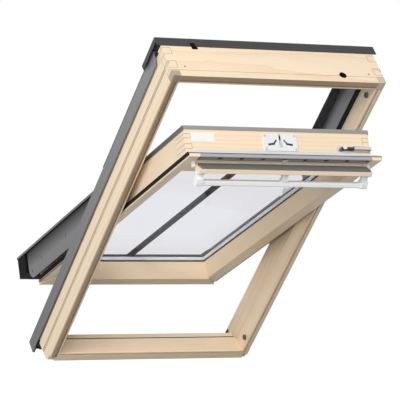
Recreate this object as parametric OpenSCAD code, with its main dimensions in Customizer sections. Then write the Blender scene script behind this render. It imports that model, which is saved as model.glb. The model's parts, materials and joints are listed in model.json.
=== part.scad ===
// Centre-pivot roof window with a timber frame, a timber sash and metal covers.
// Lengths are in millimetres. The window leans at the roof pitch, with the sash open.
// Local axes: x across the window, y down the slope from mid height, z out of the room.

/* [Frame] */
// Overall width of the timber frame
frame_w = 550; // [480:1:1100]
// Overall height of the timber frame, measured up the slope
frame_h = 978; // [800:1:1500]
// Depth of the frame timber from the room face to the outdoor face
frame_d = 101; // [96:1:125]
// Thickness of a jamb at the room side
jamb_t = 20; // [18:0.5:24]
// Thickness of the head
head_t = 22; // [18:0.5:24]
// Thickness of the sill at the room side
sill_t = 26; // [24:0.5:27]
// Depth of the sill from the room face to its outdoor edge
sill_d = 85; // [80:1:90]
// Pitch of the roof that the window is shown in
roof_pitch = 42.5; // [15:0.5:75]
// Width of the groove that takes the wall lining
lining_groove = 3.5; // [2:0.5:5]
// Depth of the groove that takes the wall lining
lining_depth = 8; // [4:0.5:10]
// Thickness of the glue line at each end of the sill
glue_gap = 0.1; // [0.05:0.05:0.2]

/* [Sash] */
// Angle that the sash stands open
open_angle = 24.5; // [0:0.5:30]
// Gap between the sash lip and the jamb
side_gap = 8; // [7:0.5:9]
// Gap between the sash lip and the head
top_gap = 4; // [3:0.5:6]
// Width of a stile and of the bottom rail on the room face
rail_face = 42; // [40:1:48]
// Height of the top rail on the room face
top_face = 94; // [88:1:110]
// How far the lip stands out beyond the sash body at the sides
lip_side = 8.5; // [8:0.5:10]
// How far the lip stands out beyond the sash body at the top
lip_top = 31; // [29:1:32]
// Distance of the sash room face from the frame room face
sash_w = 32.5; // [31.5:0.5:33.5]
// How far the inner faces of the sash slope back from the glass
splay = 14; // [8:1:16]
// Thickness of the lip
lip_t = 8; // [7:0.5:9]
// Thickness of one pane of glass
pane_t = 4; // [3:0.5:5]
// Gap between the two panes
pane_gap = 12; // [10:1:13]
// Width of the bar across the glass
bar_w = 21; // [15:1:40]
// Thickness of the bar across the glass
bar_t = 3; // [2:0.5:6]
// How far the sash timber stands out beyond the frame timber
sash_rise = 11; // [9:0.5:13]

/* [Covers] */
// Thickness of the sheet metal covers
sheet_t = 1.4; // [1:0.1:1.6]
// How far the covers reach below the frame
tail = 64; // [40:1:80]
// How far the covers lie above the outdoor face of the frame
cover_rise = 20; // [19:0.5:24]
// Height of the side cladding
clad_h = 35; // [30:1:40]
// Height of the apron below the bottom cover
apron_h = 54; // [40:1:60]

/* [Hardware] */
// Height of the pivot above the outdoor face of the frame
pivot_rise = 19; // [17:0.5:21]
// Radius of the pivot pin
pivot_r = 5; // [4:0.5:6]
// Running clearance round the pivot pin
pivot_clear = 0.05; // [0.03:0.01:0.1]
// Radius of the screw holes for the roof brackets
screw_r = 1.6; // [1:0.1:2]
// Depth of the screw holes for the lower roof brackets, where the jamb is thin
screw_depth = 7; // [5:0.5:8]
// Depth of the screw holes for the upper roof brackets
screw_long = 12; // [10:0.5:14]
// Radius of the cable hole in the head
cable_r = 8; // [5:0.5:9]
// Radius of the sliding bolt
bolt_r = 3.5; // [3:0.1:3.8]
// Running clearance round the sliding bolt
bolt_clear = 0.1; // [0.05:0.01:0.1]
// Travel of the sliding bolt
bolt_travel = 20; // [17:0.5:20]
// How far a bushing stands out of the jamb
bush_proud = 4; // [3:0.1:4]
// Clearance of the sliding bolt in a bushing
bush_clear = 0.7; // [0.5:0.1:1]
// Depth of the upper bushing, which holds the sash ajar
bush_high_w = 20.8; // [18:0.1:24]
// Depth of the lower bushing, which holds the sash turned over for cleaning
bush_low_w = 17.2; // [15:0.1:20]
// Angle that the ventilation flap stands open
flap_open = 40; // [0:1:45]
// Radius of the flap hinge pin
flap_pin_r = 2; // [1.5:0.1:2.2]
// Running clearance round the flap hinge pin
flap_clear = 0.05; // [0.03:0.01:0.1]
// Distance from the flap to the middle of the control bar
bar_reach = 28; // [24:1:30]
// Height of the control bar
grip_h = 15; // [12:0.5:16]
// Depth of the control bar
grip_d = 13; // [11:0.5:14]
// Width of a bracket at the end of the control bar
bracket_w = 16; // [12:1:20]

/* [Hidden] */
$fn = 48;

// Half sizes of the frame and the middle of its depth under the sill
half_w = frame_w / 2;
half_h = frame_h / 2;
reveal = half_w - jamb_t;
seat_w = frame_d / 2;
pivot_w = frame_d + pivot_rise;
head_in = -half_h + head_t;
head_step = head_in + 20;
step_w = 53;
// Outer faces of the jamb are cut back above this depth to take the side cladding
clad_top = frame_d + 17;
back_w = clad_top - clad_h - 9;
back_u = half_w - 4;
// The reveal is cut back at the upper half for the cover and at the lower half for the sash
upper_w = 68;
lower_w = 44;
lower_u = reveal + 11;
upper_end = -60;
lower_start = 14;
// The sill slopes down to the outside, with a step for its seal, so that the sash can swing over it
sill_top = half_h - sill_t;
sill_step = 54.5;
sill_edge = sill_d - 7.5;
// The foot of the sill is wider than the reveal, and the jambs end above it
foot_s = half_h - 12;
foot_w = 8;
// Finger joints at the frame corners, as depths from the room face
frame_fingers = [[26.5, 49], [72, 92.5]];

// Outlines of the sash as it stands when closed
lip_u = reveal - side_gap;
body_u = lip_u - lip_side;
in_u = lip_u - rail_face;
lip_s = head_in + top_gap;
body_s = lip_s + lip_top;
in_top = lip_s + top_face;
bot_s = half_h - 25;
in_bot = bot_s - rail_face - 3;
lip_w = sash_w + lip_t;
body_w = lip_w + 7;
sash_top_w = frame_d + sash_rise;
glass_w = sash_w + 44.5;
pocket = 17;
pocket_u = in_u + pocket;
pane_u = pocket_u - 2.5;
pane_top = in_top - pocket + 2.5;
pane_bot = in_bot + pocket - 2.5;
outer_w = glass_w + 2 * pane_t + pane_gap;
strip_w = sash_top_w + 6.5;
strip_leg = sash_top_w - 5;
sash_fingers = [[63, 75], [89, 99]];

// Outer covers of the frame and of the sash
clad_u = half_w + 2;
clad_low = clad_top - clad_h;
cover_w = frame_d + cover_rise;
cover_in = body_u - 8.5;
side_u = lower_u - 3.5;
side_top = strip_leg - 0.5;
over_w = sash_top_w + 9.5;
over_u = side_u + 4;
tail_s = half_h + tail - 11;
slope_s = bot_s + 28;

// Flap hinge and parts, measured from the closed sash
flap_s = body_s + 1;
flap_w = sash_w - 9;
flap_u = in_u + 16;
bar_u = flap_u - 17;
slot_pitch = (flap_u - 3) / 4;
flap_h = 31;
flap_back = -8;
flap_front = 2.2;
grip_w = flap_back - bar_reach;
grip_s = -12.5;

// Sliding bolt and the two bushings lie on one circle about the pivot
bolt_s = body_s - 6;
lock_low = body_w + 14;
lock_top = strip_leg - 3.5;
lock_mid = (lock_low + lock_top) / 2;
bolt_w = lock_low + 8.5;
knob_reach = 8;
knob_r = 4.8;
bolt_u = body_u - 4;
knob_u = body_u - 72.5;
tube_u = knob_u + bolt_travel + knob_r + 0.7;
bolt_rad = sqrt(bolt_s * bolt_s + (pivot_w - bolt_w) * (pivot_w - bolt_w));
bush_high_s = -bolt_rad * cos(asin((pivot_w - bush_high_w) / bolt_rad));
bush_low_s = bolt_rad * cos(asin((pivot_w - bush_low_w) / bolt_rad));
lock_u = 4;

// Leans a piece of the frame at the roof pitch, with the middle of the sill seat at the origin
module on_roof() {
  rotate([-roof_pitch, 0, 0]) translate([0, -half_h, -seat_w]) children();
}

// Turns a piece of the sash about the pivot
module on_sash() {
  on_roof() translate([0, 0, pivot_w]) rotate([open_angle, 0, 0]) translate([0, 0, -pivot_w]) children();
}

// Turns a piece of the flap about its own hinge, which is then the local origin
module on_flap() {
  on_sash() translate([0, flap_s, flap_w]) rotate([flap_open, 0, 0]) children();
}

// A plain block between two corners
module block(u0, u1, s0, s1, w0, w1) {
  translate([u0, s0, w0]) cube([u1 - u0, s1 - s0, w1 - w0]);
}

// A profile of slope and depth drawn out across the window
module across(u0, u1) {
  translate([u0, 0, 0]) rotate([90, 0, 90]) linear_extrude(u1 - u0) children();
}

// A profile of width and depth drawn out down the slope
module downward(s0, s1) {
  translate([0, s1, 0]) rotate([90, 0, 0]) linear_extrude(s1 - s0) children();
}

// A round bar or bore across the window
module rod(u0, u1, s, w, r) {
  translate([u0, s, w]) rotate([0, 90, 0]) cylinder(r = r, h = u1 - u0);
}

// A round bar or bore down the slope
module drill(u, s0, s1, w, r) {
  translate([u, s1, w]) rotate([90, 0, 0]) cylinder(r = r, h = s1 - s0);
}

// Makes the left piece as the mirror image of the right one
module left_hand() {
  mirror([1, 0, 0]) children();
}

// Head with its step, corner notches, finger slots, cable hole and screw holes
module head_shape() {
  difference() {
    union() {
      block(-half_w, half_w, -half_h, head_in, 0, frame_d);
      block(-reveal, reveal, head_in, head_step, step_w, frame_d);
    }
    for (f = frame_fingers) {
      block(reveal, half_w + 1, -half_h - 1, head_in + 1, f[0], f[1]);
      block(-half_w - 1, -reveal, -half_h - 1, head_in + 1, f[0], f[1]);
    }
    block(reveal, half_w + 1, -half_h - 1, head_in + 1, -1, 18.5);
    block(-half_w - 1, -reveal, -half_h - 1, head_in + 1, -1, 18.5);
    block(-half_w - 1, half_w + 1, -half_h - 1, -half_h + 1.2, 18.5, 20);
    block(-reveal + 4.5, reveal - 4.5, head_in - 4 - lining_groove, head_in - 4, -1, lining_depth);
    drill(half_w - 108.4, -half_h - 1, head_in + 1, 22, cable_r);
    drill(-half_w + 38, -half_h - 1, -half_h + 10, 31.3, 1.5);
    drill(half_w - 37, -half_h - 1, -half_h + 10, 28, 1.5);
    block(-half_w + 76, -half_w + 91, -half_h - 1, -half_h + 3, frame_d - 11, frame_d - 1);
  }
}

// Right jamb with the cut-backs of its upper and lower halves, grooves and bracket screw holes
module jamb_shape() {
  difference() {
    union() {
      block(reveal, half_w, head_in, half_h + 17, 0, frame_d);
      block(lower_u, back_u, lower_start, half_h + 17, frame_d - 1, clad_top - sheet_t);
      block(reveal, half_w, -half_h, head_in, 0, 18.5);
      for (f = frame_fingers) {
        block(reveal, half_w, -half_h, head_in, f[0], f[1]);
      }
    }
    block(back_u, half_w + 1, head_in, half_h + 18, back_w, frame_d + 1);
    block(reveal - 1, reveal + sheet_t, head_in, upper_end, upper_w, frame_d + 1);
    block(reveal - 1, lower_u, lower_start, half_h + 18, lower_w, frame_d + 1);
    block(reveal + 4.5, reveal + 4.5 + lining_groove, head_in - 1, half_h + 18, -1, lining_depth);
    block(half_w - 1.5, half_w + 1, head_in - 1, half_h + 18, 39, 41);
    block(half_w - 1.5, half_w + 1, head_in - 1, half_h + 18, 45, 47);
    across(reveal - 1, half_w + 1)
      polygon([[foot_s, -1], [foot_s, foot_w + 0.2], [half_h + 5, foot_w + 0.2], [half_h + 12, 20],
        [half_h + 17, 60], [half_h + 30, 60], [half_h + 30, -1]]);
    difference() {
      block(half_w - 4, half_w + 1, -half_h - 1, half_h + 18, -1, 4);
      drill(half_w - 4, -half_h - 2, half_h + 19, 4, 4);
    }
    rod(half_w - screw_long, half_w + 1, -half_h + 67, back_w - 10, screw_r);
    rod(half_w - screw_depth, half_w + 1, half_h - 50, back_w - 10, screw_r);
  }
}

module frame_head() {
  color("burlywood") on_roof() head_shape();
}

module frame_sill() {
  color("burlywood") on_roof() difference() {
    union() {
      across(-reveal + glue_gap, reveal - glue_gap)
        polygon([[half_h, 0], [sill_top, 0], [sill_top + 5.5, 30], [sill_top + 8, sill_step],
          [sill_top + 11.5, sill_step], [sill_top + 17, sill_edge], [half_h, sill_d]]);
      block(-reveal - 7, reveal + 7, foot_s + 0.3, half_h, 0, foot_w);
    }
    block(-reveal - 1, reveal + 1, sill_top + 3, sill_top + 3 + lining_groove, -1, lining_depth);
  }
}

module frame_jamb_right() {
  color("burlywood") on_roof() difference() {
    jamb_shape();
    rod(reveal - 1, reveal + 12, bush_high_s, bush_high_w, 6);
    rod(reveal - 1, reveal + 12, bush_low_s, bush_low_w, 6);
  }
}

module frame_jamb_left() {
  color("burlywood") on_roof() left_hand() jamb_shape();
}

// Folded cover over the head with a skirt on the outside and a return at each side
module head_cover() {
  color("dimgray") on_roof() union() {
    block(-clad_u - 8, clad_u + 8, -half_h - sheet_t, -half_h + 89, cover_w + 1.4, cover_w + 2.6);
    block(-clad_u - 8, clad_u + 8, -half_h - sheet_t, -half_h, frame_d - 3, cover_w + 2.6);
    block(clad_u + 8 - sheet_t, clad_u + 8, -half_h - sheet_t, -half_h + 89, cover_w - 11, cover_w + 2.6);
    block(-clad_u - 8, -clad_u - 8 + sheet_t, -half_h - sheet_t, -half_h + 89, cover_w - 11, cover_w + 2.6);
  }
}

// Channel along the outside of the right jamb, with a rounded upper end
module cladding_shape() {
  difference() {
    downward(-half_h + 37, half_h + tail)
      polygon([[back_u, clad_low], [clad_u, clad_low], [clad_u, clad_top], [clad_u - 9.5, clad_top],
        [clad_u - 9.5, clad_top - 1.2], [clad_u - 1.2, clad_top - 1.2], [clad_u - 1.2, clad_low + 1.2],
        [back_u, clad_low + 1.2]]);
    difference() {
      block(back_u - 10, clad_u + 1, -half_h + 36, -half_h + 55, clad_low - 1, clad_low + 18);
      rod(back_u - 11, clad_u + 2, -half_h + 55, clad_low + 18, 18);
    }
  }
}

module side_cladding_right() {
  color("slategray") on_roof() cladding_shape();
}

module side_cladding_left() {
  color("slategray") on_roof() left_hand() cladding_shape();
}

// Fixed cover of the upper half, lapping over the edge of the sash
module upper_cover_shape() {
  downward(-half_h + 69, -72)
    polygon([[cover_in, cover_w], [reveal, cover_w], [reveal, upper_w + 2],
      [reveal + sheet_t, upper_w + 2], [reveal + sheet_t, cover_w], [clad_u - 1, cover_w],
      [clad_u - 1, cover_w + 1.2], [cover_in, cover_w + 1.2]]);
}

module upper_cover_right() {
  color("dimgray") on_roof() upper_cover_shape();
}

module upper_cover_left() {
  color("dimgray") on_roof() left_hand() upper_cover_shape();
}

// Seal along the reveal of the right jamb, from the head to the pivot
module jamb_seal_shape() {
  block(reveal - 2.5, reveal, head_step + 0.3, upper_end - 2, 50, bolt_w - bolt_r - 1);
}

module jamb_seal_right() {
  color("black") on_roof() jamb_seal_shape();
}

module jamb_seal_left() {
  color("black") on_roof() left_hand() jamb_seal_shape();
}

module sill_seal() {
  color("black") on_roof() across(-reveal + 3, reveal - 3)
    polygon([[sill_top + 8.5, sill_step], [sill_top + 11.5, sill_step],
      [sill_top + 11.5 + 16.5 / (sill_edge - sill_step), sill_step + 3],
      [sill_top + 8.5, sill_step + 3]]);
}

// Bearing plate on the jamb, with the bore for the pivot pin
module pivot_plate_shape() {
  difference() {
    union() {
      block(reveal - 3, reveal, -28, 28, 56, pivot_w);
      rod(reveal - 3, reveal, 0, pivot_w, 14);
    }
    rod(reveal - 4, reveal + 1, 0, pivot_w, pivot_r + pivot_clear);
  }
}

module pivot_plate_right() {
  color("silver") on_roof() pivot_plate_shape();
}

module pivot_plate_left() {
  color("silver") on_roof() left_hand() pivot_plate_shape();
}

// One bushing that takes the end of the sliding bolt
module bushing(s, w) {
  difference() {
    union() {
      rod(reveal, reveal + 12, s, w, 6);
      rod(reveal - bush_proud, reveal, s, w, 7);
    }
    rod(reveal - bush_proud - 1, reveal + 11, s, w, bolt_r + bush_clear);
  }
}

module bolt_bushings() {
  color("gray") on_roof() union() {
    bushing(bush_high_s, bush_high_w);
    bushing(bush_low_s, bush_low_w);
  }
}

// Right stile with its lip, seal groove, glass rebate, corner fingers and lower mitre
module stile_shape() {
  difference() {
    union() {
      downward(in_top, bot_s)
        polygon([[in_u + splay, sash_w + 4.5], [lip_u, sash_w], [lip_u, lip_w], [body_u - 6.5, lip_w],
          [body_u - 6.5, body_w], [body_u, body_w], [body_u, sash_top_w], [pocket_u, outer_w + 5.5],
          [pocket_u, glass_w - 1], [in_u, glass_w - 1]]);
      downward(in_top - pocket, in_top)
        polygon([[pocket_u, glass_w - 1], [body_u, glass_w - 1], [body_u, sash_top_w],
          [pocket_u, outer_w + 5.5]]);
      for (f = sash_fingers) {
        block(pocket_u, body_u, body_s, in_top - (f[1] > glass_w ? pocket : 0), f[0], f[1]);
      }
    }
    linear_extrude(sash_top_w + 1)
      polygon([[in_u - 1, in_bot - 1], [lip_u + 20, in_bot + rail_face + 20],
        [in_u - 1, in_bot + rail_face + 20]]);
    under_cover();
  }
}

// Room for the sloping cover over the bottom corner and the bottom rail
module under_cover() {
  across(-lip_u, lip_u)
    polygon([[in_bot + 4, outer_w - 0.66], [slope_s, over_w - 0.3], [slope_s, over_w + 10],
      [in_bot + 4, over_w + 10]]);
}

module sash_stile_right() {
  color("burlywood") on_sash() stile_shape();
}

module sash_stile_left() {
  color("burlywood") on_sash() left_hand() stile_shape();
}

// Top rail with its lip, seal groove, glass rebate, vent pocket and slots for the stile fingers
module sash_top_rail() {
  color("burlywood") on_sash() difference() {
    union() {
      block(-lip_u, lip_u, lip_s, in_top, sash_w, lip_w);
      across(-body_u, body_u)
        polygon([[body_s - 8, lip_w], [body_s - 8, body_w], [body_s, body_w], [body_s, sash_top_w],
          [in_top - pocket, sash_top_w], [in_top - pocket, glass_w - 1], [in_top, glass_w - 1],
          [in_top, lip_w]]);
    }
    block(body_u - 6.5, body_u + 1, body_s - 9, in_top + 1, lip_w, body_w);
    block(-body_u - 1, -body_u + 6.5, body_s - 9, in_top + 1, lip_w, body_w);
    for (f = sash_fingers) {
      block(pocket_u, body_u + 1, body_s - 1, in_top - (f[1] > glass_w ? pocket : 0), f[0], f[1]);
      block(-body_u - 1, -pocket_u, body_s - 1, in_top - (f[1] > glass_w ? pocket : 0), f[0], f[1]);
    }
    block(-flap_u, flap_u, lip_s + 3, body_s - 3, sash_w - 1, sash_w + 5.5);
    block(lock_u - 34, lock_u + 34, body_s - 1, body_s + 8, lock_low + 4, lock_top - 3);
    drill(body_u - 16.4, body_s - 1, body_s + 8, 84.3, 1.5);
  }
}

// What the right mitre takes off the bottom rail
module rail_mitre() {
  linear_extrude(sash_top_w + 2)
    polygon([[in_u, in_bot], [lip_u + 20, in_bot + rail_face + 20], [lip_u + 20, in_bot - 2],
      [in_u, in_bot - 2]]);
}

module sash_bottom_rail() {
  color("burlywood") on_sash() difference() {
    intersection() {
      across(-lip_u, lip_u)
        polygon([[in_bot + splay + 3, sash_w + 1.5], [bot_s, sash_w - 4.3], [bot_s + 7.5, sash_top_w],
          [in_bot + pocket, sash_top_w], [in_bot + pocket, glass_w - 1], [in_bot, glass_w - 1]]);
      union() {
        block(-lip_u, lip_u, in_bot - 1, bot_s + 20, sash_w - 10, lip_w);
        block(-body_u, body_u, in_bot - 1, bot_s + 20, lip_w, sash_top_w + 1);
      }
    }
    rail_mitre();
    left_hand() rail_mitre();
    under_cover();
  }
}

module pane_inner() {
  color("lightcyan") on_sash() block(-pane_u, pane_u, pane_top, pane_bot, glass_w, glass_w + pane_t);
}

module pane_outer() {
  color("lightcyan") on_sash() block(-pane_u, pane_u, pane_top, pane_bot, outer_w - pane_t, outer_w);
}

// A flat ring inside the edge of the glass
module glass_ring(edge, wide, w0, w1) {
  difference() {
    block(-edge, edge, pane_top + pane_u - edge, pane_bot - pane_u + edge, w0, w1);
    block(-edge + wide, edge - wide, pane_top + pane_u - edge + wide, pane_bot - pane_u + edge - wide,
      w0 - 1, w1 + 1);
  }
}

module pane_spacer() {
  color("lightgray") on_sash() glass_ring(pane_u - 4, 12, glass_w + pane_t, outer_w - pane_t);
}

module glazing_seal() {
  color("black") on_sash() glass_ring(pane_u, 15.5, glass_w - 1, glass_w);
}

module glazing_bar() {
  color("darkslategray") on_sash()
    block(-bar_w / 2, bar_w / 2, in_top - 8, in_bot + 5, outer_w, outer_w + bar_t);
}

// Metal strip along the outer edge of the top rail, down to the glass
module sash_strip_top() {
  color("lightgray") on_sash() union() {
    across(-body_u, body_u)
      polygon([[body_s - sheet_t, strip_leg + 2.5], [body_s, strip_leg + 2.5], [body_s, strip_w - 1.2],
        [in_top - 8, strip_w - 1.2], [in_top - 8, strip_w], [body_s - sheet_t, strip_w]]);
    block(-pocket_u + 0.5, pocket_u - 0.5, in_top - 9.2, in_top - 8, outer_w, strip_w);
  }
}

// Metal strip sloping from the outer edge of the right stile to the glass, cut away round the pivot
module strip_shape() {
  difference() {
    union() {
      downward(in_top - 8, in_bot + 5)
        polygon([[body_u + sheet_t, strip_leg], [body_u, strip_leg], [body_u, strip_w - 2.2],
          [in_u + 9, outer_w], [in_u + 7, outer_w], [in_u + 7, outer_w + 1.5], [body_u - 0.5, strip_w],
          [body_u + sheet_t, strip_w]]);
      block(body_u, body_u + sheet_t, body_s - sheet_t, in_top - 8, strip_leg, strip_w);
    }
    block(body_u, body_u + 3, -26, 26, strip_leg - 1, strip_w + 1);
  }
}

module sash_strip_right() {
  color("dimgray") on_sash() strip_shape();
}

module sash_strip_left() {
  color("dimgray") on_sash() left_hand() strip_shape();
}

// Cheek that closes the side of the sloping part of the bottom cover
module cover_cheek() {
  across(body_u - 2, body_u - 0.5)
    polygon([[in_bot + 5, outer_w], [slope_s, over_w], [slope_s, over_w + 1.5],
      [in_bot + 40, over_w + 1.5], [in_bot + 5, strip_w]]);
}

// Cover of the bottom rail, sloping up from the glass and reaching down over the roof
module sash_bottom_cover() {
  color("dimgray") on_sash() union() {
    across(-body_u - 2, body_u + 2)
      polygon([[slope_s, over_w], [tail_s - sheet_t, over_w], [tail_s - sheet_t, over_w - apron_h],
        [tail_s, over_w - apron_h], [tail_s, over_w + 1.5], [slope_s, over_w + 1.5]]);
    across(-body_u + 0.5, body_u - 0.5)
      polygon([[in_bot + 5, outer_w], [slope_s, over_w], [slope_s, over_w + 1.5],
        [in_bot + 5, outer_w + 1.5]]);
    cover_cheek();
    left_hand() cover_cheek();
  }
}

// Plate beside the lower half of the right stile, up to the cover, with a rounded lower end,
// two slots and a hole
module side_plate_shape() {
  difference() {
    downward(28, half_h - 8)
      polygon([[body_u, side_top - 16.5], [body_u + 1.5, side_top - 16.5], [body_u + 1.5, side_top - 1.5],
        [side_u - 1.5, side_top - 1.5], [side_u - 1.5, lower_w + 1], [side_u, lower_w + 1],
        [side_u, over_w], [side_u - 1.5, over_w], [side_u - 1.5, side_top], [body_u, side_top]]);
    block(body_u - 1, body_u + 4, bot_s + 2, half_h, side_top - 20, side_top - 1.5);
    difference() {
      block(side_u - 4, side_u + 1, half_h - 38, half_h, 44, 75);
      rod(side_u - 5, side_u + 2, half_h - 38, 75, 30);
    }
    rod(side_u - 4, side_u + 1, half_h - 26, 64, 4);
    rod(side_u - 4, side_u + 1, half_h - 95, 72, 2.5);
    block(side_u - 4, side_u + 1, half_h - 97.5, half_h - 92.5, 72, 80);
    rod(side_u - 4, side_u + 1, half_h - 260, 76, 2.5);
    block(side_u - 4, side_u + 1, half_h - 262.5, half_h - 257.5, 76, 86);
  }
}

module side_plate_right() {
  color("gray") on_sash() side_plate_shape();
}

module side_plate_left() {
  color("gray") on_sash() left_hand() side_plate_shape();
}

// Cover over the lower half of the right side, with a hemmed outer edge
module side_cover_shape() {
  downward(28, tail_s)
    polygon([[body_u + 2, over_w], [body_u + 2.5, over_w], [body_u + 2.5, side_top],
      [body_u + 3.9, side_top], [body_u + 3.9, over_w], [over_u - 1.4, over_w],
      [over_u - 1.4, over_w - 2.3], [over_u, over_w - 2.3], [over_u, over_w + 3.5],
      [over_u - 1.4, over_w + 3.5], [over_u - 1.4, over_w + 1.5], [body_u + 2, over_w + 1.5]]);
}

module side_cover_right() {
  color("dimgray") on_sash() side_cover_shape();
}

module side_cover_left() {
  color("dimgray") on_sash() left_hand() side_cover_shape();
}

// Solid end block below the frame that closes the corner of the covers
module cover_end_shape() {
  difference() {
    block(body_u + 2, side_u + 2.5, half_h + 3.5, tail_s - sheet_t, over_w - apron_h, over_w);
    block(body_u + 1, body_u + 4, half_h, tail_s, side_top, over_w + 1);
  }
}

module cover_end_right() {
  color("black") on_sash() cover_end_shape();
}

module cover_end_left() {
  color("black") on_sash() left_hand() cover_end_shape();
}

// Seal in the groove behind the right lip, folded over the edge of the lip
module side_seal() {
  downward(lip_s + 1, in_bot - 4)
    polygon([[body_u - 6.5, lip_w], [lip_u, lip_w], [lip_u, lip_w - 4], [lip_u + 1.5, lip_w - 4],
      [lip_u + 1.5, lip_w + 5], [body_u - 1, lip_w + 5], [body_u - 1, lip_w + 6],
      [body_u - 6.5, lip_w + 6]]);
}

// Seal in the groove behind the lip, along both sides and the top
module sash_seal() {
  color("black") on_sash() union() {
    side_seal();
    left_hand() side_seal();
    block(-body_u + 6.5, body_u - 6.5, lip_s + 1, body_s - 8, lip_w, lip_w + 6);
  }
}

// Twin-lipped seal along the lower half of the right stile
module lower_seal_shape() {
  downward(40, bot_s - 10)
    polygon([[lip_u, sash_w + 0.5], [lip_u + 4, sash_w + 0.5], [lip_u + 4, lip_w - 5],
      [lip_u + 2.5, lip_w - 4], [lip_u + 2.5, lip_w + 1], [lip_u + 4, lip_w + 2],
      [lip_u + 4, lip_w + 5], [lip_u + 1.5, lip_w + 5], [lip_u + 1.5, lip_w - 4], [lip_u, lip_w - 4]]);
}

module lower_seal_right() {
  color("black") on_sash() lower_seal_shape();
}

module lower_seal_left() {
  color("black") on_sash() left_hand() lower_seal_shape();
}

// Plate on the right stile with the pivot pin
module pivot_pin_shape() {
  union() {
    block(body_u, body_u + 3, -25, 25, 56, pivot_w);
    rod(body_u, body_u + 3, 0, pivot_w, 12);
    rod(body_u, reveal + 1.5, 0, pivot_w, pivot_r);
  }
}

module pivot_pin_right() {
  color("silver") on_sash() pivot_pin_shape();
}

module pivot_pin_left() {
  color("silver") on_sash() left_hand() pivot_pin_shape();
}

// Metal strip along the upper face of the lip
module vent_trim() {
  color("lightgray") on_sash() block(-flap_u, flap_u, lip_s - 1.2, lip_s, sash_w + 0.3, lip_w - 0.2);
}

// Thin pale strip along the upper face of the sash body
module face_trim() {
  color("whitesmoke") on_sash()
    block(-flap_u + 6, flap_u - 6, body_s - 1, body_s, lock_low - 4, lock_low - 0.2);
}

// Grille in the pocket of the top rail, with a row of slots
module vent_grille() {
  color("gray") on_sash() difference() {
    block(-flap_u, flap_u, lip_s + 3, body_s - 3, sash_w + 2, sash_w + 5.5);
    for (i = [-4 : 3]) {
      block((i + 0.07) * slot_pitch, (i + 0.93) * slot_pitch, lip_s + 4.5, lip_s + 20,
        sash_w + 1, sash_w + 4.5);
    }
  }
}

module vent_rail() {
  color("whitesmoke") on_sash() difference() {
    block(-flap_u + 9, flap_u - 9, body_s, body_s + 4, sash_w - 2.5, sash_w);
    block(lock_u - 6, lock_u + 6, body_s - 1, body_s + 5, sash_w - 3, sash_w + 1);
  }
}

module vent_clip() {
  color("white") on_sash()
    block(lock_u - 5.8, lock_u + 5.8, body_s - 15, body_s - 4, sash_w + 0.3, sash_w + 2);
}

// Lock plate with a slot for the latch and a hooked slot at each side
module lock_plate() {
  color("silver") on_sash() difference() {
    union() {
      block(lock_u - 44, lock_u + 44, body_s - 2, body_s, lock_low + 4, lock_top - 4);
      block(lock_u - 40, lock_u + 40, body_s - 2, body_s, lock_low, lock_top);
      for (k = [-1, 1]) {
        drill(lock_u + k * 40, body_s - 2, body_s, lock_low + 4, 4);
        drill(lock_u + k * 40, body_s - 2, body_s, lock_top - 4, 4);
      }
    }
    block(lock_u - 2.5, lock_u + 2.5, body_s - 3, body_s + 1, lock_mid - 5.5, lock_top - 1.5);
    for (k = [-1, 1]) {
      translate([lock_u + k * 23, 0, lock_mid - 4.5]) rotate([0, k * 8, 0])
        block(-9, 9, body_s - 3, body_s + 1, -2.5, 2.5);
      translate([lock_u + k * 14, 0, lock_mid + 0.5]) rotate([0, k * -40, 0])
        block(-2, 2, body_s - 3, body_s + 1, -6, 7);
    }
  }
}

// Latch tongue that runs in the middle slot of the lock plate
module lock_latch() {
  color("gainsboro") on_sash() union() {
    block(lock_u - 2.1, lock_u + 2.1, body_s - 4.5, body_s + 4, lock_mid - 3, lock_mid + 5.5);
    block(lock_u - 2.1, lock_u + 2.1, body_s - 4.5, body_s - 2.4, lock_mid - 11.5, lock_mid + 5.5);
  }
}

// Screw heads at the corners of the lock plate
module lock_screws() {
  color("silver") on_sash() union() {
    for (k = [-1, 1]) {
      for (w = [lock_low + 5, lock_top - 5]) {
        drill(lock_u + k * 38, body_s - 3.2, body_s - 2, w, 2.6);
      }
    }
  }
}

// Guide of the sliding bolt: a base with a round end and a long tube
module bolt_guide() {
  color("silver") on_sash() difference() {
    union() {
      block(knob_u - 8, body_u - 2, body_s - 1.5, body_s, bolt_w - 7, bolt_w + 7);
      drill(knob_u - 8, body_s - 1.5, body_s, bolt_w, 7);
      rod(tube_u, body_u - 2, bolt_s, bolt_w, 5.8);
      block(tube_u, body_u - 2, bolt_s, body_s, bolt_w - 5.8, bolt_w + 5.8);
    }
    rod(knob_u - 20, body_u + 1, bolt_s, bolt_w, bolt_r + bolt_clear);
  }
}

// Sliding bolt with its thumb knob
module slide_bolt() {
  color("gainsboro") on_sash() union() {
    rod(knob_u - 6, bolt_u, bolt_s, bolt_w, bolt_r);
    drill(knob_u, bolt_s - knob_reach, bolt_s, bolt_w, 2.6);
    drill(knob_u, bolt_s - knob_reach, bolt_s - knob_reach + 2.5, bolt_w, knob_r);
  }
}

// Blank label place on the sash
module blank_label() {
  color("white") on_sash()
    block(-body_u + 16.5, -body_u + 76.5, body_s - 0.4, body_s, lock_top - 23, lock_top - 0.5);
}

// Bearings on the room face of the top rail for the flap hinge
module flap_bearing() {
  difference() {
    block(flap_u + 1, flap_u + 7.5, flap_s - 4.5, flap_s + 4.5, flap_w - 4, sash_w);
    rod(flap_u, flap_u + 9, flap_s, flap_w, flap_pin_r + flap_clear);
  }
}

module flap_bearings() {
  color("gray") on_sash() union() {
    flap_bearing();
    left_hand() flap_bearing();
  }
}

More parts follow.
